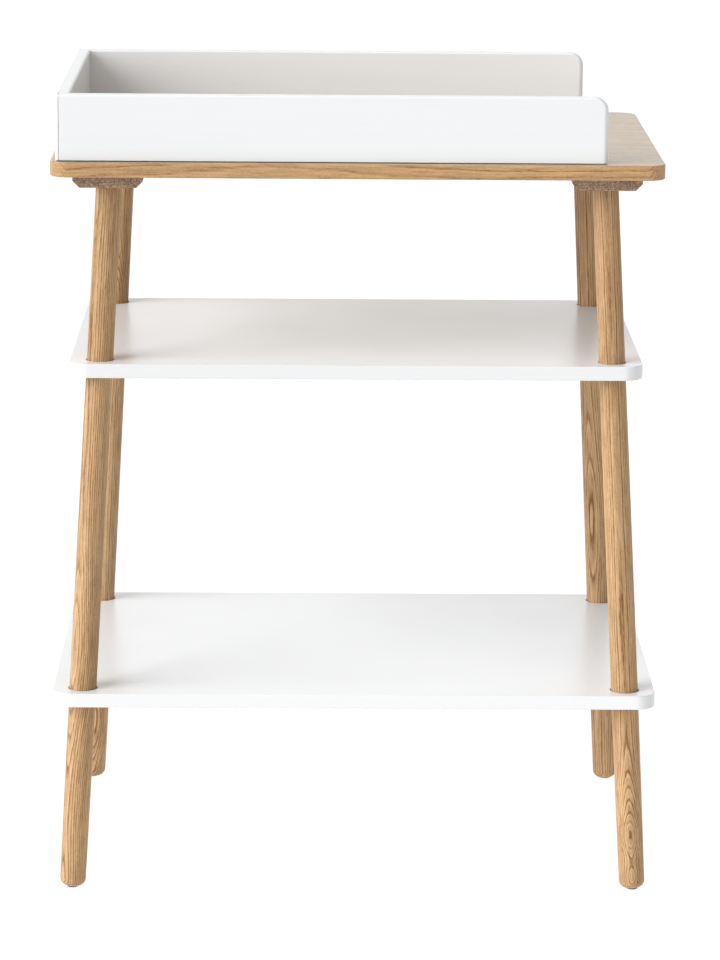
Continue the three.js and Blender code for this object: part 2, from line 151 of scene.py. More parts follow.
def slab(low, high, radii, thickness, ease, steps, edge_steps, lower_ease=None, far_ease=None):
    """A board between z = 0 and its thickness, with quarter-round edges of radius ease.

    lower_ease is the radius at z = 0, and far_ease the radius along the side at high y, where they differ."""
    lower_ease = ease if lower_ease is None else lower_ease
    levels = quarter_round(lower_ease, edge_steps)
    levels += [(inset, thickness - depth) for inset, depth in reversed(quarter_round(ease, edge_steps))]
    rings = []
    for inset, z in levels:
        depth = min(z, thickness - z)
        radius = min(lower_ease if z < thickness / 2 else ease, ease if far_ease is None else far_ease)
        far_inset = radius - math.sqrt(max(radius ** 2 - max(radius - depth, 0) ** 2, 0))
        far = (high[0], high[1] + inset - far_inset)
        rings.append([(x, y, z) for x, y in rounded_outline(low, far, radii, inset, steps)])
    return skin(rings)


def turned(profile, start, end, sides):
    """A lathe form: profile is (radius, height) pairs, the axis runs from start towards end."""
    turn = Vector((0, 0, 1)).rotation_difference((end - start).normalized())
    rings = []
    for radius, height in profile:
        ring = [Vector((radius * math.cos(a), radius * math.sin(a), height))
                for a in (2 * math.pi * i / sides for i in range(sides))]
        rings.append([start + turn @ point for point in ring])
    return skin(rings)


def trim(bm, point, normal):
    """Cuts away what lies past a plane, on the side its normal points to, and closes the cut."""
    geometry = bm.verts[:] + bm.edges[:] + bm.faces[:]
    cut = bmesh.ops.bisect_plane(bm, geom=geometry, dist=1e-7, plane_co=point, plane_no=normal,
                                 clear_outer=True)
    edges = [e for e in cut["geom_cut"] if isinstance(e, bmesh.types.BMEdge)]
    bmesh.ops.contextual_create(bm, geom=edges)


def evaluated(obj):
    """Applies the object's modifiers to its mesh."""
    graph = bpy.context.evaluated_depsgraph_get()
    mesh = bpy.data.meshes.new_from_object(obj.evaluated_get(graph), depsgraph=graph)
    obj.modifiers.clear()
    obj.data = mesh


def subtract(obj, cutters):
    """Takes the cutters out of the object, and removes them."""
    for cutter in cutters:
        modifier = obj.modifiers.new("cut", "BOOLEAN")
        modifier.object, modifier.operation, modifier.solver = cutter, "DIFFERENCE", "EXACT"
    evaluated(obj)
    for cutter in cutters:
        bpy.data.objects.remove(cutter)


def cutting_pin(radius, start, end):
    """A round cutter from start to end."""
    profile = [(radius, 0), (radius, (end - start).length)]
    return new_object("cutter", turned(profile, start, end, ROUND_SIDES))


def cutting_box(low, high):
    """A cutter in the shape of a box."""
    bm = bmesh.new()
    bmesh.ops.create_cube(bm, size=1.0)
    bmesh.ops.scale(bm, verts=bm.verts, vec=high - low)
    bmesh.ops.translate(bm, verts=bm.verts, vec=(low + high) / 2)
    return new_object("cutter", bm)


def round_edges(obj, width, segments, angle):
    """Rounds the edges that are sharper than angle."""
    bevel = obj.modifiers.new("edges", "BEVEL")
    bevel.width, bevel.segments, bevel.limit_method = width, segments, "ANGLE"
    bevel.angle_limit = math.radians(angle)
    evaluated(obj)


def shade_flats(obj):
    """Shades the flats flat and the roundings round."""
    obj.data.set_sharp_from_angle(angle=math.radians(SHARP_ANGLE))
    normals = obj.modifiers.new("normals", "WEIGHTED_NORMAL")
    normals.weight, normals.keep_sharp = 80, True
    evaluated(obj)


def soften(obj, width, segments, angle):
    """Rounds the edges that are sharper than angle, and shades the result."""
    round_edges(obj, width, segments, angle)
    shade_flats(obj)


def set_grain(obj, along, across, offset, figure=()):
    """Stores where each point lies in the log it was cut from: x along the grain, y and z from the pith.

    Each figure (place, swell, length) bends the rings near a place along the grain, as a knot does."""
    x_axis = Vector(along).normalized()
    y_axis = (Vector(across) - Vector(across).dot(x_axis) * x_axis).normalized()
    z_axis = x_axis.cross(y_axis)
    values = []
    for vertex in obj.data.vertices:
        along_grain = vertex.co.dot(x_axis)
        bend = sum(swell * math.exp(-((along_grain - place) / length) ** 2)
                   for place, swell, length in figure)
        values += [along_grain + offset[0], vertex.co.dot(y_axis) + offset[1] + bend,
                   vertex.co.dot(z_axis) + offset[2]]
    layer = obj.data.attributes.new("grain", "FLOAT_VECTOR", "POINT")
    layer.data.foreach_set("vector", values)


# ---- shader tools ----------------------------------------------------------------------------
class Nodes:
    """A node tree, built with short calls."""

    def __init__(self, tree):
        self.tree = tree

    def node(self, kind, inputs=(), **settings):
        made = self.tree.nodes.new(kind)
        for key, value in settings.items():
            setattr(made, key, value)
        for key, value in dict(inputs).items():
            self.feed(made.inputs[key], value)
        return made

    def feed(self, socket, value):
        if isinstance(value, bpy.types.NodeSocket):
            self.tree.links.new(value, socket)
        else:
            socket.default_value = value

    def math(self, operation, a, b=0.0, c=0.0, clamp=False):
        made = self.node("ShaderNodeMath", {0: a, 1: b, 2: c}, operation=operation, use_clamp=clamp)
        return made.outputs[0]

    def vector(self, operation, a, b=(0, 0, 0)):
        made = self.node("ShaderNodeVectorMath", {0: a, 1: b}, operation=operation)
        return made.outputs["Value" if operation == "LENGTH" else "Vector"]

    def grain(self):
        return self.node("ShaderNodeAttribute", attribute_name="grain").outputs["Vector"]

    def position(self):
        return self.node("ShaderNodeTexCoord").outputs["Object"]

    def noise(self, where, scales, detail, roughness=0.5):
        """Noise from 0 to 1, with scales in cycles per metre along each axis."""
        scaled = self.vector("MULTIPLY", where, scales)
        made = self.node("ShaderNodeTexNoise",
                         {"Vector": scaled, "Scale": 1.0, "Detail": detail, "Roughness": roughness})
        return made.outputs["Fac"]

    def noise_vector(self, where, scales):
        """A noise vector around zero."""
        scaled = self.vector("MULTIPLY", where, scales)
        made = self.node("ShaderNodeTexNoise", {"Vector": scaled, "Scale": 1.0, "Detail": 1.0})
        return self.vector("SUBTRACT", made.outputs["Color"], (0.5, 0.5, 0.5))

    def ramp(self, value, low, high):
        """A smooth step, 0 up to low and 1 from high on, or the other way round where low is the larger."""
        made = self.node("ShaderNodeMapRange", {0: value, 1: low, 2: high, 3: 0.0, 4: 1.0},
                         interpolation_type="SMOOTHSTEP")
        return made.outputs[0]

    def mix(self, factor, a, b):
        made = self.node("ShaderNodeMix", data_type="RGBA")
        self.feed(made.inputs[0], factor)
        self.feed(made.inputs[6], a)
        self.feed(made.inputs[7], b)
        return made.outputs[2]


class Shader(Nodes):
    """A new material, with constant values set on its surface shader."""

    def __init__(self, name, **constants):
        self.material = bpy.data.materials.new(name)
        self.material.use_nodes = True
        super().__init__(self.material.node_tree)
        self.surface = self.tree.nodes["Principled BSDF"]
        for socket, value in constants.items():
            self.surface.inputs[socket.replace("_", " ")].default_value = value

    def bump(self, height, distance, strength):
        made = self.node("ShaderNodeBump", {"Height": height, "Distance": distance, "Strength": strength})
        self.feed(self.surface.inputs["Normal"], made.outputs[0])

    def colour(self, socket):
        self.feed(self.surface.inputs["Base Color"], socket)

    def rough(self, socket):
        self.feed(self.surface.inputs["Roughness"], socket)


def rgb(red, green, blue):
    return (red, green, blue, 1.0)


# noise scales of wood in cycles per metre, along the grain and across it
WOOD_NOISE = {
    "bend": (2.6, 11, 11),
    "wander": (18, 80, 80),
    "fibres": (16, 620, 620),
    "coarse": (34, 420, 420),
    "streaks": (3.2, 170, 170),
    "specks": (230, 900, 900),
    "tone": (2.2, 26, 26),
    "pores": (80, 900, 900),
}
RING_WANDER = 0.9 * MM
LATE_WOOD = 0.45
PORE_DARKNESS = 0.35


def wood(name, light, dark, ring_width=2.6 * MM, line=0.45, fleck=0.3, streak=0.32, drift=0.35, level=0.3,
         sway=7 * MM, speck=0.22, roughness=0.42, **constants):
    """Ring-porous wood as a solid texture.

    line, fleck, streak, drift and speck are how strongly growth rings, fibres, streaks, slow changes of tone
    and specks show, level is the mean darkness, and sway how far the rings stray from round."""
    s = Shader(name, **constants)
    where = s.grain()
    bend = s.vector("MULTIPLY", s.noise_vector(where, WOOD_NOISE["bend"]), (0, sway, sway))
    wander = s.vector("MULTIPLY", s.noise_vector(where, WOOD_NOISE["wander"]), (0, RING_WANDER, RING_WANDER))
    bent = s.vector("ADD", s.vector("ADD", where, bend), wander)
    rings = s.math("DIVIDE", s.vector("LENGTH", s.vector("MULTIPLY", bent, (0, 1, 1))), ring_width)
    phase = s.math("FRACT", rings)
    early = s.math("MULTIPLY", s.ramp(phase, 0.0, 0.1), s.ramp(phase, 0.42, 0.12))
    late = s.math("MULTIPLY", s.ramp(phase, 0.72, 0.9), s.ramp(phase, 1.0, 0.95))
    ring_number = {"W": s.math("FLOOR", rings)}
    fate = s.node("ShaderNodeTexWhiteNoise", ring_number, noise_dimensions="1D").outputs["Value"]
    fibres = s.noise(bent, WOOD_NOISE["fibres"], 2.0, 0.6)
    coarse = s.noise(bent, WOOD_NOISE["coarse"], 1.0)
    streaks = s.noise(bent, WOOD_NOISE["streaks"], 2.0)
    specks = s.noise(where, WOOD_NOISE["specks"], 1.0, 0.6)
    tone = s.noise(where, WOOD_NOISE["tone"], 1.0)
    pores = s.math("MULTIPLY", s.ramp(s.noise(bent, WOOD_NOISE["pores"], 1.0), 0.54, 0.66),
                   s.math("ADD", early, 0.3), clamp=True)
    amount = s.math("MULTIPLY", early, s.math("MULTIPLY_ADD", fate, line, line * 0.5))
    amount = s.math("SUBTRACT", amount, s.math("MULTIPLY", late, line * LATE_WOOD))
    for pattern, strength in ((fibres, fleck), (coarse, fleck), (streaks, streak), (tone, drift),
                              (specks, speck)):
        amount = s.math("ADD", amount, s.math("MULTIPLY_ADD", pattern, 2 * strength, -strength))
    amount = s.math("ADD", amount, s.math("MULTIPLY_ADD", pores, PORE_DARKNESS, level), clamp=True)
    s.colour(s.mix(amount, light, dark))
    fibre_roughness = s.math("MULTIPLY_ADD", fibres, 0.16, roughness - 0.08)
    s.rough(s.math("ADD", fibre_roughness, s.math("MULTIPLY", pores, 0.2)))
    s.bump(s.math("SUBTRACT", s.math("MULTIPLY", fibres, 0.35), pores), 0.15 * MM, 0.6)
    return s.material


def lacquer():
    """White satin lacquer on board: faint orange peel, faint cloudiness and slightly uneven gloss."""
    s = Shader("white_lacquer", Specular_IOR_Level=0.5, Coat_Weight=0.12, Coat_Roughness=0.22)
    where = s.position()
    cloud = s.noise(where, (7, 7, 7), 2.0)
    peel = s.noise(where, (520, 520, 520), 1.0)
    specks = s.ramp(s.noise(where, (900, 900, 900), 0.0), 0.72, 0.8)
    s.colour(s.mix(s.math("MULTIPLY_ADD", specks, 0.5, s.math("MULTIPLY", cloud, 0.5)),
                   rgb(0.785, 0.792, 0.798), rgb(0.75, 0.756, 0.762)))
    s.rough(s.math("MULTIPLY_ADD", cloud, 0.10, s.math("MULTIPLY_ADD", peel, 0.05, 0.24)))
    s.bump(peel, 0.02 * MM, 0.35)
    return s.material


def paint():
    """White satin paint on wood: the grain shows as faint furrows along the board, and the tone drifts."""
    s = Shader("white_paint", Specular_IOR_Level=0.5)
    where = s.grain()
    bent = s.vector("ADD", where, s.vector("MULTIPLY", s.noise_vector(where, (2.5, 16, 16)), (0, 0.01, 0.01)))
    furrows = s.noise(bent, (7, 480, 480), 3.0, 0.65)
    lines = s.noise(bent, (2.2, 120, 120), 2.0)
    drift = s.noise(where, (3, 9, 9), 1.0)
    shade = s.math("ADD", s.math("MULTIPLY", furrows, 0.35), s.math("MULTIPLY", lines, 0.35))
    s.colour(s.mix(s.math("MULTIPLY_ADD", drift, 0.3, shade),
                   rgb(0.83, 0.84, 0.848), rgb(0.775, 0.784, 0.79)))
    s.rough(s.math("MULTIPLY_ADD", furrows, 0.18, 0.34))
    s.bump(s.math("MULTIPLY_ADD", lines, 0.6, furrows), 0.06 * MM, 0.5)
    return s.material


def metal():
    """Zinc-plated steel with fine turning marks and slight dulling."""
    s = Shader("zinc_steel", Metallic=1.0)
    where = s.position()
    spangle = s.noise(where, (300, 300, 300), 3.0)
    marks = s.noise(where, (150, 150, 5000), 1.0)
    s.colour(s.mix(spangle, rgb(0.74, 0.75, 0.76), rgb(0.56, 0.57, 0.58)))
    s.rough(s.math("MULTIPLY_ADD", spangle, 0.25, 0.22))
    s.bump(marks, 0.01 * MM, 0.4)
    return s.material


def nylon_with_painted_foot_shade():
    """Brown nylon, slightly cloudy, with a fine moulded texture; the dark brown is partly the glide's own
    colour and partly painted shade for the contact shadow under each foot.
    """
    s = Shader("nylon")
    where = s.position()
    cloud = s.noise(where, (120, 120, 120), 2.0)
    grit = s.noise(where, (2600, 2600, 2600), 1.0)
    # dark browns: partly the nylon's own colour, partly painted contact shade under the foot
    s.colour(s.mix(cloud, rgb(0.19, 0.145, 0.11), rgb(0.14, 0.105, 0.08)))
    s.rough(s.math("MULTIPLY_ADD", grit, 0.2, 0.4))
    s.bump(grit, 0.02 * MM, 0.5)
    return s.material


MATERIALS = {
    "oak": wood("oak", rgb(0.60, 0.385, 0.20), rgb(0.195, 0.088, 0.028), line=0.5, fleck=0.38, streak=0.4,
                roughness=0.5, Specular_IOR_Level=0.25),
    "oak_edge": wood("oak_edge", rgb(0.60, 0.37, 0.18), rgb(0.25, 0.125, 0.045), ring_width=1.7 * MM,
                     line=0.3, fleck=0.34, streak=0.2, drift=0.15, level=0.32, speck=0.4, sway=9 * MM,
                     roughness=0.46, Specular_IOR_Level=0.4),
    "oak_veneer": wood("oak_veneer", rgb(0.53, 0.41, 0.275), rgb(0.25, 0.17, 0.10), ring_width=2.4 * MM,
                       fleck=0.45, roughness=0.38, Coat_Weight=0.2, Coat_Roughness=0.25),
    "dark_oak": wood("dark_oak", rgb(0.55, 0.365, 0.24), rgb(0.10, 0.048, 0.028), ring_width=2.2 * MM,
                     fleck=0.75, level=0.35, roughness=0.55),
    "white_lacquer": lacquer(),
    "white_paint": paint(),
    "beech": wood("beech", rgb(0.72, 0.52, 0.33), rgb(0.50, 0.31, 0.17), ring_width=1.8 * MM, line=0.2),
    "zinc_steel": metal(),
    "nylon": nylon_with_painted_foot_shade(),
}


def finish_piece(obj, slot, body, *nodes):
    """Gives the piece its material, body and slot, and hides the CAD nodes it stands for."""
    obj.data.materials.clear()
    obj.data.materials.append(MATERIALS[slot])
    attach(obj, body)
    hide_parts(*nodes)


# ---- camera ----------------------------------------------------------------------------------
CAMERA_PLACE = Vector((-0.0604, -5.3769, 1.7136))
CAMERA_PITCH, CAMERA_YAW, CAMERA_ROLL = (math.radians(a) for a in (12.66, 0.74, 0.46))
CAMERA_LENS = 149.11
CAMERA_SENSOR = 36.0
CAMERA_REACH = 200.0


def make_camera():
    data = bpy.data.cameras.new("camera")
    data.lens, data.sensor_width, data.sensor_fit = CAMERA_LENS, CAMERA_SENSOR, "AUTO"
    data.clip_end = CAMERA_REACH
    camera = bpy.data.objects.new("camera", data)
    ahead = Vector((math.sin(CAMERA_YAW) * math.cos(CAMERA_PITCH),
                    math.cos(CAMERA_YAW) * math.cos(CAMERA_PITCH), -math.sin(CAMERA_PITCH)))
    level = Vector((math.cos(CAMERA_YAW), -math.sin(CAMERA_YAW), 0))
    above = level.cross(ahead)
    right = level * math.cos(CAMERA_ROLL) + above * math.sin(CAMERA_ROLL)
    up = above * math.cos(CAMERA_ROLL) - level * math.sin(CAMERA_ROLL)
    camera.matrix_world = Matrix.Translation(CAMERA_PLACE) @ Matrix((right, up, -ahead)).transposed().to_4x4()
    bpy.context.scene.collection.objects.link(camera)
    bpy.context.scene.camera = camera


# ---- legs and foot glides --------------------------------------------------------------------
def leg_radius(along, length):
    """The turned leg's radius at a distance from the floor along its axis: a slight swell."""
    if along < LEG_SWELL_HEIGHT:
        t = max(along, 0.0) / LEG_SWELL_HEIGHT
        return LEG_RADIUS_FOOT + (LEG_RADIUS_MIDDLE - LEG_RADIUS_FOOT) * math.sin(math.pi / 2 * t)
    t = (along - LEG_SWELL_HEIGHT) / (length - LEG_SWELL_HEIGHT)
    return LEG_RADIUS_TOP + (LEG_RADIUS_MIDDLE - LEG_RADIUS_TOP) * (1 + math.cos(math.pi * min(t, 1.0))) / 2


def leg_axis(corner):
    """Where a leg's axis meets the floor, and the direction up along it."""
    mounts = {m["name"]: m for m in frame["record"]["mounts"]}
    floor = Vector(mounts[f"{corner}_foot"]["pos_m"])
    bolt, _ = centre_and_size(f"{corner}_hanger_bolt")
    return floor, (bolt - floor).normalized()


# for each leg: the direction across the grain that points away from the pith, its place in the log
# as (along, across, sideways), and its figure
LEG_GRAIN = {
    "front_left": ((1, 0.7, 0), (0.30, 0.09, 0.004), ((0.33, -0.006, 0.10), (0.12, 0.005, 0.12))),
    "front_right": ((0.03, 1, 0), (1.70, 0.042, 0.0),
                    ((0.080, -0.011, 0.075), (0.078, -0.004, 0.022), (0.016, -0.006, 0.018))),
    "rear_left": ((0.2, 1, 0), (3.10, 0.048, 0.004), ((0.73, -0.009, 0.05), (0.09, -0.010, 0.07))),
    "rear_right": ((0.8, 1, 0), (4.60, 0.050, 0.008), ((0.40, -0.007, 0.12),)),
}


def make_leg(corner):
    floor, up = leg_axis(corner)
    low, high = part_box(f"{corner}_leg")
    length = high[2] / up.z
    start = low[2] - FOOT_DIP
    arc = [(LEG_RADIUS_FOOT - inset, start + depth)
           for inset, depth in quarter_round(FOOT_ROUNDING, FOOT_STEPS)]
    shaft_start = start + FOOT_ROUNDING
    shaft = []
    for i in range(1, LEG_STEPS + 1):
        along = shaft_start + (length + LEG_RADIUS_TOP - shaft_start) * i / LEG_STEPS
        shaft.append((leg_radius(along - shaft_start, length), along))
    bm = turned(arc + shaft, floor, floor + up, ROUND_SIDES)
    trim(bm, Vector((0, 0, high[2])), Vector((0, 0, 1)))
    trim(bm, Vector((0, 0, low[2])), Vector((0, 0, -1)))
    leg = new_object(f"{corner}_turned_leg", bm)
    soften(leg, 0.6 * MM, 2, 50)
    across, offset, figure = LEG_GRAIN[corner]
    axis_point = floor - floor.dot(up) * up
    figure = [(place + floor.dot(up), swell, spread) for place, swell, spread in figure]
    y_axis = (Vector(across) - Vector(across).dot(up) * up).normalized()
    z_axis = up.cross(y_axis)
    offset = (offset[0], offset[1] - axis_point.dot(y_axis), offset[2] - axis_point.dot(z_axis))
    set_grain(leg, up, across, offset, figure)
    finish_piece(leg, "oak", "table", f"{corner}_leg")


def make_glide(corner):
    floor, _ = leg_axis(corner)
    centre, size = centre_and_size(f"{corner}_foot_glide")
    radius = size.x / 2
    profile = [(radius - inset, depth) for inset, depth in quarter_round(GLIDE_EDGE_RADIUS, SMALL_EDGE_STEPS)]
    profile += [(radius, GLIDE_THICKNESS - 2 * TINY), (radius - 2 * TINY, GLIDE_THICKNESS)]
    nail_top = size.z
    profile += [(GLIDE_NAIL_RADIUS, GLIDE_THICKNESS), (GLIDE_NAIL_RADIUS, nail_top - GLIDE_NAIL_RADIUS),
                (TINY, nail_top)]
    glide = new_object(f"{corner}_glide", turned(profile, floor, floor + Vector((0, 0, 1)), SMALL_SIDES))
    soften(glide, TINY / 2, 1, 60)
    # the dark nylon also paints the contact shade where the foot meets the floor
    finish_piece(glide, "nylon", "table", f"{corner}_foot_glide")


# ---- boards ----------------------------------------------------------------------------------
RAIL_SCREWS = (1, 2, 3)
RIM_DOWELS = ("front_left", "front_right", "rear_left", "rear_right", "end")
# faces of the top whose normal rises less than this belong to its edge band
EDGE_BAND_SLOPE = 0.75


def make_top():
    """The veneered top, with a solid oak band round its edge and a blind hole for each locating dowel."""
    low, high = (Vector(c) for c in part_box("tabletop"))
    bm = slab(low, high, (TOP_CORNER_RADIUS,) * 4, high.z - low.z, TOP_EDGE_EASE, BOARD_CORNER_STEPS, 6)
    bmesh.ops.translate(bm, verts=bm.verts, vec=(0, 0, low.z))
    top = new_object("oak_tabletop", bm)
    cutters = []
    for place in RIM_DOWELS:
        centre, size = centre_and_size(f"rim_locating_dowel_{place}")
        start = centre - Vector((0, 0, size.z / 2 + LOCATOR_GAP))
        cutters.append(cutting_pin(size.x / 2 + LOCATOR_GAP, start, centre))
    subtract(top, cutters)
    soften(top, TINY, 1, 60)
    set_grain(top, (1, 0, 0), (0, 1, 0), (0.5, 0.09, -high.z + 0.035))
    finish_piece(top, "oak_veneer", "table", "tabletop")
    top.data.materials.append(MATERIALS["oak_edge"])
    for polygon in top.data.polygons:
        if abs(polygon.normal.z) < EDGE_BAND_SLOPE:
            polygon.material_index = 1


def make_shelf(name):
    """A lacquered shelf with a slanted hole for each leg."""
    low, high = (Vector(c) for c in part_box(name))
    bm = slab(low, high, (SHELF_CORNER_RADIUS,) * 4, high.z - low.z, SHELF_EDGE_EASE,
              BOARD_CORNER_STEPS, SMALL_EDGE_STEPS)
    bmesh.ops.translate(bm, verts=bm.verts, vec=(0, 0, low.z))
    shelf = new_object(f"white_{name}", bm)
    cutters = []
    for corner in CORNERS:
        floor, up = leg_axis(corner)
        middle = (low.z + high.z) / 2 / up.z
        radius = leg_radius(middle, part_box(f"{corner}_leg")[1][2] / up.z) + LEG_HOLE_GAP
        start = floor + up * (low.z - radius) / up.z
        end = floor + up * (high.z + radius) / up.z
        cutters.append(cutting_pin(radius, start, end))
    subtract(shelf, cutters)
    soften(shelf, BOARD_EDGE, 3, 50)
    finish_piece(shelf, "white_lacquer", "table", name)


def make_rail(side):
    """A rail with chamfered lower edges and a bore for the head of each screw."""
    name = f"{side}_leg_rail"
    low, high = (Vector(c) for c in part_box(name))
    x = (low.x + high.x) / 2
    half = (high.x - low.x) / 2
    outline = [(-half, high.z), (-half, low.z + RAIL_CHAMFER), (-half + RAIL_CHAMFER, low.z),
               (half - RAIL_CHAMFER, low.z), (half, low.z + RAIL_CHAMFER), (half, high.z)]
    bm = skin([[(x + a, y, z) for a, z in outline] for y in (low.y, high.y)])
    rail = new_object(f"{side}_oak_rail", bm)
    cutters = []
    for number in RAIL_SCREWS:
        centre, size = centre_and_size(f"{side}_rail_screw_{number}")
        head_top = centre + Vector((0, 0, SCREW_HEAD_HEIGHT + BORE_GAP - size.z / 2))
        below = head_top - Vector((0, 0, 3 * SCREW_HEAD_HEIGHT))
        cutters.append(cutting_pin(size.x / 2 + BORE_GAP, below, head_top))
    subtract(rail, cutters)
    soften(rail, BOARD_EDGE, 3, 25)
    set_grain(rail, (0, 1, 0), (1, 0, 0), (2.0 if side == "left" else 5.0, 0.02 - x, 0.03 - high.z))
    finish_piece(rail, "dark_oak", "table", name)


# ---- screws, pins and dowels -----------------------------------------------------------------
# reach, half width and depth of the cross in a screw's head
RECESS = (2.6 * MM, 0.45 * MM, 1.6 * MM)
DOWEL_FLUTES = 16
SIDES_TO_A_FLUTE = 4
FLUTE_RADIUS = 0.9


def make_screw(side, number):
    """A cross-slotted screw standing on its head, threaded in the part that holds the top."""
    node = f"{side}_rail_screw_{number}"
    low, high = (Vector(c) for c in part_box(node))
    radius, length = (high.x - low.x) / 2, high.z - low.z
    foot = Vector(((low.x + high.x) / 2, (low.y + high.y) / 2, low.z))
    profile = [(radius - inset, depth)
               for inset, depth in quarter_round(SCREW_HEAD_EDGE, SMALL_EDGE_STEPS)]
    profile += [(radius, SCREW_HEAD_HEIGHT), (SCREW_RADIUS, SCREW_HEAD_HEIGHT), (SCREW_RADIUS, length / 2)]
    turns = int((length / 2 - 2 * SCREW_RADIUS) / THREAD_PITCH)
    for turn in range(turns):
        start = length / 2 + turn * THREAD_PITCH
        profile += [(SCREW_RADIUS - THREAD_DEPTH, start + 0.35 * THREAD_PITCH),
                    (SCREW_RADIUS - THREAD_DEPTH, start + 0.7 * THREAD_PITCH),
                    (SCREW_RADIUS, start + THREAD_PITCH)]
    profile += [(SCREW_RADIUS - THREAD_DEPTH, length - 2 * SCREW_RADIUS + 5 * TINY), (TINY, length)]
    screw = new_object(f"{side}_screw_{number}",
                       turned(profile, foot, foot + Vector((0, 0, 1)), SMALL_SIDES))
    reach, half_width, depth = RECESS
    arms = [Vector((reach, half_width, depth)), Vector((half_width, reach, depth))]
    subtract(screw, [cutting_box(foot - arm, foot + arm) for arm in arms])
    soften(screw, 0.08 * MM, 2, SHARP_ANGLE)
    finish_piece(screw, "zinc_steel", "table", node)


def make_dowel(node, body, slot, name, flutes=0):
    """A round dowel or pin with chamfered ends along its longest side, with or without flutes."""
    centre, size = centre_and_size(node)
    longest = max(range(3), key=lambda i: size[i])
    along = Vector([1.0 if i == longest else 0.0 for i in range(3)])
    length, radius = size[longest], min(size) / 2
    chamfer = 0.16 * radius + 3 * TINY
    start = centre - along * length / 2
    profile = [(radius - chamfer, 0), (radius, chamfer),
               (radius, length - chamfer), (radius - chamfer, length)]
    bm = turned(profile, start, start + along, max(SMALL_SIDES, SIDES_TO_A_FLUTE * flutes))
    if flutes:
        for number, vertex in enumerate(bm.verts):
            if number % SIDES_TO_A_FLUTE == 0:
                axis_point = start + along * (vertex.co - start).dot(along)
                vertex.co = axis_point + (vertex.co - axis_point) * FLUTE_RADIUS
    dowel = new_object(name, bm)
    soften(dowel, TINY, 1, 40)
    set_grain(dowel, along, (0.3, 0.5, 1) if longest < 2 else (1, 0, 0), (13.0, 0.03, 0.02))
    finish_piece(dowel, slot, body, node)


# ---- changing rim ----------------------------------------------------------------------------
def panel_blank(length, height, thickness, start_radius, end_radius, back_edge=RIM_EDGE_RADIUS):
    """An upright panel from x = 0, its middle at y = 0, reaching below z = 0 where it is trimmed."""
    below = -2 * RIM_EDGE_RADIUS
    radii = (RIM_EDGE_RADIUS, RIM_EDGE_RADIUS, end_radius, start_radius)
    bm = slab((0, below), (length, height), radii, thickness, RIM_EDGE_RADIUS,
              RIM_CORNER_STEPS, RIM_EDGE_STEPS, back_edge, RIM_TOP_RADIUS)
    bmesh.ops.rotate(bm, verts=bm.verts, matrix=Matrix.Rotation(math.pi / 2, 3, "X"))
    bmesh.ops.translate(bm, verts=bm.verts, vec=(0, thickness / 2, 0))
    return bm


def close_below(obj, height):
    """Cuts the panel level at a height, and leaves that edge sharp."""
    subtract(obj, [cutting_box(Vector((-1, -1, height - 1)), Vector((1, 1, height)))])


def make_long_panel(name, node):
    """The front or back panel: rounded at its free right end, cut off square where it meets the end panel."""
    low, high = (Vector(c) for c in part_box(node))
    extra = RIM_END_RADIUS
    bm = panel_blank(high.x - low.x + extra, high.z - low.z, high.y - low.y, RIM_END_RADIUS, RIM_END_RADIUS)
    bmesh.ops.translate(bm, verts=bm.verts, vec=(low.x - extra, (low.y + high.y) / 2, low.z))
    trim(bm, low, Vector((-1, 0, 0)))
    panel = new_object(name, bm)
    round_edges(panel, RIM_SMALL_EDGE, 2, 40)
    close_below(panel, low.z + RIM_SHADOW_GAP)
    shade_flats(panel)
    set_grain(panel, (1, 0, 0), (0, 0, 1), (7.0 + low.y, 0.05 - low.z, 0.3 + low.y))
    finish_piece(panel, "white_paint", "rim", node)


def make_end_panel():
    """The left panel, rebated at both ends: a thin lip covers the ends of the long panels."""
    node = "rim_end_panel"
    low, high = (Vector(c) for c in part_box(node))
    front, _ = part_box("rim_front_panel")
    outer = front[1]
    corner_radius = RIM_EDGE_RADIUS + SEAT_GAP
    bm = panel_blank(-2 * outer, high.z - low.z, high.x - low.x, corner_radius, corner_radius,
                     RIM_OUTER_RADIUS)
    bmesh.ops.translate(bm, verts=bm.verts, vec=(outer, 0, 0))
    bmesh.ops.rotate(bm, verts=bm.verts, matrix=Matrix.Rotation(math.pi / 2, 3, "Z"))
    bmesh.ops.translate(bm, verts=bm.verts, vec=((low.x + high.x) / 2, 0, low.z))
    panel = new_object("white_rim_end", bm)
    shoulder = -outer - (high.x - low.x) - SEAT_GAP
    cutters = []
    for side in (-1, 1):
        reach = Vector((0.05, 0.05, 0.2))
        middle = Vector((low.x + RIM_LIP + reach.x, side * (shoulder + reach.y), (low.z + high.z) / 2))
        cutters.append(cutting_box(middle - reach, middle + reach))
    subtract(panel, cutters)
    round_edges(panel, RIM_SMALL_EDGE, 2, 40)
    close_below(panel, low.z + RIM_SHADOW_GAP)
    shade_flats(panel)
    set_grain(panel, (0, 1, 0), (0, 0, 1), (11.0, 0.06 - low.z, 0.8))
    finish_piece(panel, "white_paint", "rim", node)


# ---- light and floor -------------------------------------------------------------------------
FLOOR_HALF_WIDTH = 60.0
FLOOR_SHADE = rgb(0.12, 0.12, 0.12)
FLOOR_GLOW = 0.96
FLOOR_GLOW_IN_FRONT = 0.42
# where the glow starts and ends to fade in front: metres ahead, and how squarely ahead (1 is straight ahead)
FADE_DISTANCE = (0.6, 2.8)
FADE_SECTOR = (0.35, 0.9)
# the sky, by the height and the depth of a direction: the horizon is white up to a height, the wall behind
# starts at a depth and ends at a height, and the rest is dim
HORIZON_HEIGHT = (0.14, 0.07)
WALL_DEPTH = (0.3, 0.8)
WALL_HEIGHT = (0.7, 0.45)
WALL_GLOW = 1.25
ROOM_GLOW = 0.17
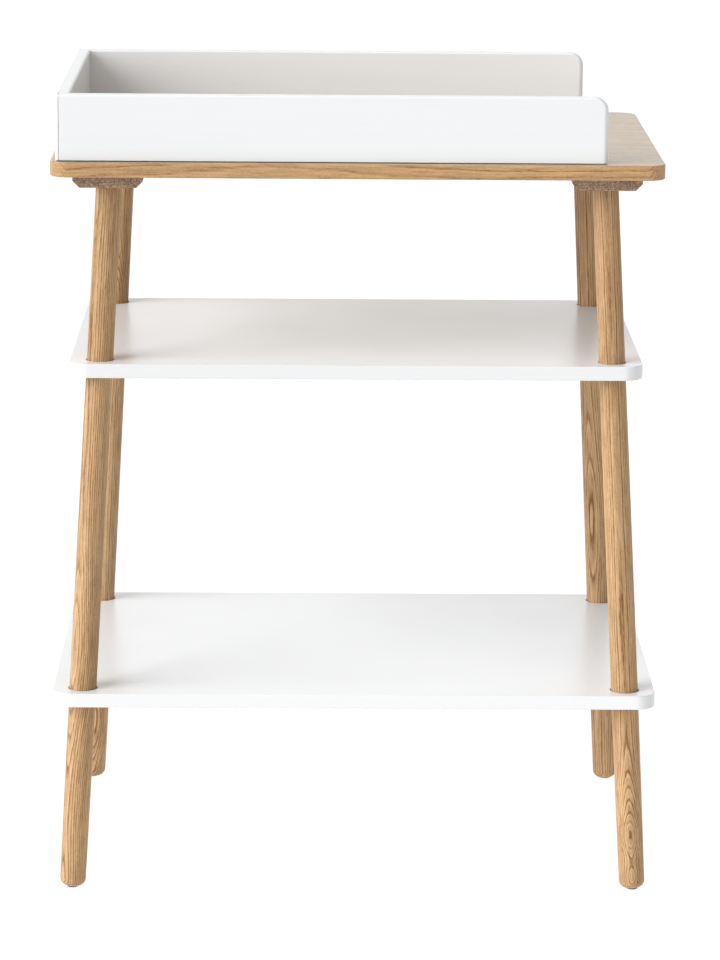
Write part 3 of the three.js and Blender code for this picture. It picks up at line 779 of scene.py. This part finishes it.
# strength, width in degrees, direction the light travels in, colour
KEY_LIGHT = (1.0, 48, Vector((1.0, 0.52, -0.53)), (1.0, 1.0, 1.0))
FRONT_LIGHT = (0.12, 90, Vector((0.1, 0.8, -0.6)), (1.0, 1.0, 1.0))
TOP_LIGHT = (0.30, 120, Vector((0.0, 0.1, -1.0)), (1.0, 1.0, 1.0))


def make_stage():
    """A white floor that glows evenly round the table, as a lit studio sweep does, and less far in front."""
    bm = bmesh.new()
    bmesh.ops.create_grid(bm, x_segments=1, y_segments=1, size=FLOOR_HALF_WIDTH)
    floor = new_object("floor", bm)
    s = Shader("studio_floor", Roughness=1.0, Specular_IOR_Level=0.0, Base_Color=FLOOR_SHADE,
               Emission_Color=rgb(1, 1, 1))
    place = s.position()
    ahead = s.math("MULTIPLY", s.node("ShaderNodeSeparateXYZ", {0: place}).outputs[1], -1.0)
    faced = s.math("DIVIDE", ahead, s.vector("LENGTH", place))
    fading = s.math("MULTIPLY", s.ramp(ahead, *FADE_DISTANCE), s.ramp(faced, *FADE_SECTOR))
    glow = s.math("MULTIPLY_ADD", fading, FLOOR_GLOW_IN_FRONT - FLOOR_GLOW, FLOOR_GLOW)
    s.feed(s.surface.inputs["Emission Strength"], glow)
    floor.data.materials.append(s.material)


def make_lamp(name, strength, width, towards, colour):
    """A far softbox: strength is the brightness it gives a white face turned to it."""
    data = bpy.data.lights.new(name, "SUN")
    data.energy, data.angle, data.color = strength * math.pi, math.radians(width), colour
    lamp = bpy.data.objects.new(name, data)
    lamp.rotation_mode = "QUATERNION"
    lamp.rotation_quaternion = towards.to_track_quat("-Z", "Y")
    bpy.context.scene.collection.objects.link(lamp)


def make_light():
    """A white horizon and a wall behind, dim round the rest, and wide lamps from the left, front and top."""
    world = bpy.data.worlds.new("studio")
    bpy.context.scene.world = world
    world.use_nodes = True
    s = Nodes(world.node_tree)
    direction = s.node("ShaderNodeTexCoord").outputs["Generated"]
    _, depth, height = s.node("ShaderNodeSeparateXYZ", {0: direction}).outputs
    horizon = s.ramp(height, *HORIZON_HEIGHT)
    wall = s.math("MULTIPLY", s.ramp(depth, *WALL_DEPTH), s.ramp(height, *WALL_HEIGHT))
    bright = s.math("MAXIMUM", horizon, s.math("MULTIPLY", wall, WALL_GLOW))
    strength = s.math("MAXIMUM", bright, ROOM_GLOW)
    s.feed(world.node_tree.nodes["Background"].inputs["Strength"], strength)
    world.node_tree.nodes["Background"].inputs["Color"].default_value = rgb(1, 1, 1)
    make_lamp("key", *KEY_LIGHT)
    make_lamp("front", *FRONT_LIGHT)
    make_lamp("top", *TOP_LIGHT)
    bpy.context.scene.view_settings.view_transform = "Standard"


def make_table():
    make_top()
    for corner in CORNERS:
        make_leg(corner)
        make_glide(corner)
    for shelf in ("upper_shelf", "lower_shelf"):
        make_shelf(shelf)
    for side in ("left", "right"):
        make_rail(side)


def make_rim():
    make_long_panel("white_rim_front", "rim_front_panel")
    make_long_panel("white_rim_back", "rim_back_panel")
    make_end_panel()


def make_fasteners():
    for side in ("left", "right"):
        for number in RAIL_SCREWS:
            make_screw(side, number)
    for corner in CORNERS:
        for shelf in ("upper", "lower"):
            make_dowel(f"{corner}_{shelf}_shelf_pin", "table", "zinc_steel", f"{corner}_{shelf}_pin")
    for place in RIM_DOWELS:
        make_dowel(f"rim_locating_dowel_{place}", "rim", "beech", f"locating_dowel_{place}", DOWEL_FLUTES)
    for side in ("front", "back"):
        for number in (1, 2):
            make_dowel(f"rim_{side}_corner_dowel_{number}", "rim", "beech",
                       f"{side}_corner_dowel_{number}", DOWEL_FLUTES)


def dress_cad_nodes():
    """Gives the CAD nodes that stay visible, the bolts and inserts, the materials of their slots."""
    slots = {part["node"]: part["material_slot"] for part in frame["record"]["subparts"]}
    for node in frame["nodes"].values():
        if not node.hide_render:
            node.data.materials.clear()
            node.data.materials.append(MATERIALS[slots[node.name]])


make_camera()
make_light()
make_stage()
make_table()
make_rim()
make_fasteners()
dress_cad_nodes()
